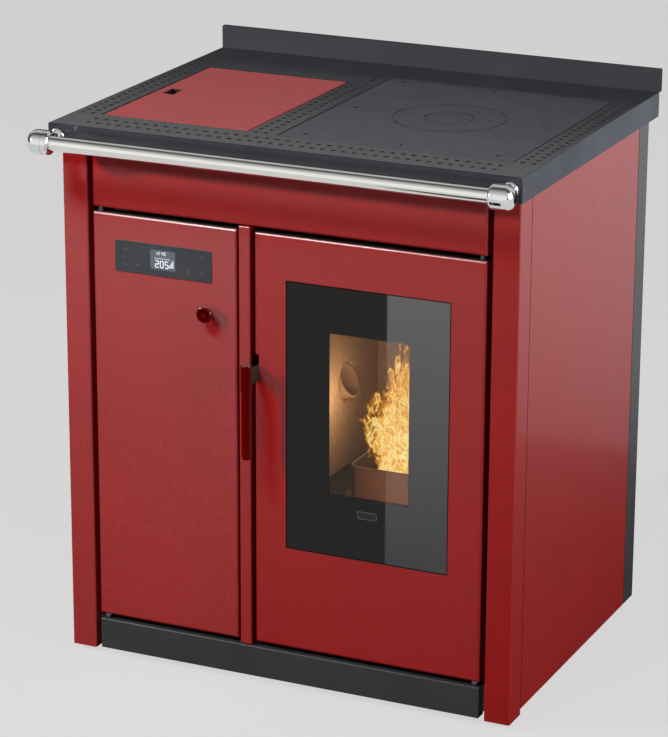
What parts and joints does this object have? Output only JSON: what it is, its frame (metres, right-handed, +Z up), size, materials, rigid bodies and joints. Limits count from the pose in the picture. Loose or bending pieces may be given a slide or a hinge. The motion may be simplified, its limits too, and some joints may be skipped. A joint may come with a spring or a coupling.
{
  "type": "pellet cookstove",
  "caption": "Free-standing pellet cookstove with a cooking plate, hopper lid, touch-panel service door, glazed fire door with a hanging handle, and a front handrail.",
  "frame": {"origin": "floor level under the middle of the whole box, rail and flue spigot included", "axes": "+Z up, front faces -Y, +X to the viewer's right"},
  "size_m": [0.816, 0.702, 0.938],
  "materials": {
    "anthracite_paint": "matte powder coat",
    "red_enamel": "glossy",
    "dark_paint": "satin",
    "plate_steel": "smooth, blued",
    "stainless": "brushed",
    "polished_chrome": "polished",
    "zinc_steel": "zinc coated",
    "stove_black": "matte heat-proof paint",
    "cast_iron": "as cast",
    "lining_board": "mineral board",
    "fire_glass": "clear with a printed black border",
    "glass_fibre": "woven",
    "panel_plastic": "satin",
    "display": "glossy",
    "black_plastic": "matte",
    "bright_steel": "turned"
  },
  "bodies": {
    "carcass": {"worktop": "anthracite_paint", "rear_upstand": "anthracite_paint", "cooking_plate": "plate_steel", "plate_frame": "stove_black", "plate_screws": "bright_steel", "left_front_pillar": "red_enamel", "right_front_pillar": "red_enamel", "left_side_panel": "red_enamel", "right_side_panel": "red_enamel", "left_rear_post": "dark_paint", "right_rear_post": "dark_paint", "fascia_panel": "red_enamel", "plinth": "dark_paint", "centre_mullion": "red_enamel", "front_crossbar": "zinc_steel", "base_tray": "zinc_steel", "levelling_feet": "black_plastic", "divider_wall": "zinc_steel", "combustion_chamber": "stove_black", "chamber_lining": "lining_board", "baffle_plate": "lining_board", "igniter": "bright_steel", "ash_drawer": "zinc_steel", "pellet_hopper": "zinc_steel", "auger_tube": "zinc_steel", "auger_gearmotor": "black_plastic", "smoke_fan_housing": "zinc_steel", "smoke_fan_motor": "black_plastic", "flue_spigot": "stove_black", "air_inlet_pipe": "zinc_steel", "back_panel": "dark_paint", "control_box": "black_plastic", "power_inlet": "black_plastic", "handrail_tube": "stainless", "handrail_ends": "polished_chrome", "door_hinge_lugs": "zinc_steel", "door_hinge_pins": "bright_steel", "magnet_catch": "black_plastic", "latch_keeper": "bright_steel", "lid_hinge_brackets": "zinc_steel"},
    "lid": {"hopper_lid": "red_enamel"},
    "service_leaf": {"service_door": "red_enamel", "service_door_bushes": "bright_steel", "control_panel": "panel_plastic", "display_screen": "display", "door_knob": "red_enamel"},
    "fire_leaf": {"fire_door_panel": "red_enamel", "fire_door_bushes": "bright_steel", "fire_door_frame": "stove_black", "door_glass": "fire_glass", "glass_gasket": "glass_fibre", "door_rope_seal": "glass_fibre"},
    "latch_handle": {"handle_grip": "red_enamel", "latch_lever": "dark_paint"},
    "feed_screw": {"auger_screw": "bright_steel"},
    "smoke_impeller": {"fan_impeller": "bright_steel"},
    "pot": {"burn_pot": "cast_iron"},
    "rocker": {"power_switch": "black_plastic"}
  },
  "joints": [
    {"name": "hopper_lid_hinge", "type": "hinge", "parent": "carcass", "child": "lid", "pos_m": [-0.1055, -0.012, 0.894], "axis": [0, 1, 0], "range_deg": [0, 100]},
    {"name": "service_door_hinge", "type": "hinge", "parent": "carcass", "child": "service_leaf", "pos_m": [-0.326, -0.251, 0.4145], "axis": [0, 0, -1], "range_deg": [0, 105]},
    {"name": "fire_door_hinge", "type": "hinge", "parent": "carcass", "child": "fire_leaf", "pos_m": [0.326, -0.251, 0.4145], "axis": [0, 0, 1], "range_deg": [0, 105]},
    {"name": "door_handle_lever", "type": "hinge", "parent": "fire_leaf", "child": "latch_handle", "pos_m": [-0.035, -0.251, 0.528], "axis": [-1, 0, 0], "range_deg": [0, 25]},
    {"name": "auger_spin", "type": "hinge", "parent": "carcass", "child": "feed_screw", "pos_m": [0, -0.012, 0.45], "axis": [0.9063, 0, 0.4226], "continuous": true},
    {"name": "smoke_fan_spin", "type": "hinge", "parent": "carcass", "child": "smoke_impeller", "pos_m": [0.15, 0.22, 0.24], "axis": [0, 1, 0], "continuous": true},
    {"name": "burn_pot_lift", "type": "slide", "parent": "carcass", "child": "pot", "axis": [0, 0, 1], "range_m": [0, 0.1]},
    {"name": "power_switch_rock", "type": "hinge", "parent": "carcass", "child": "rocker", "pos_m": [-0.253, 0.3095, 0.1], "axis": [1, 0, 0], "range_deg": [-8, 8]}
  ]
}
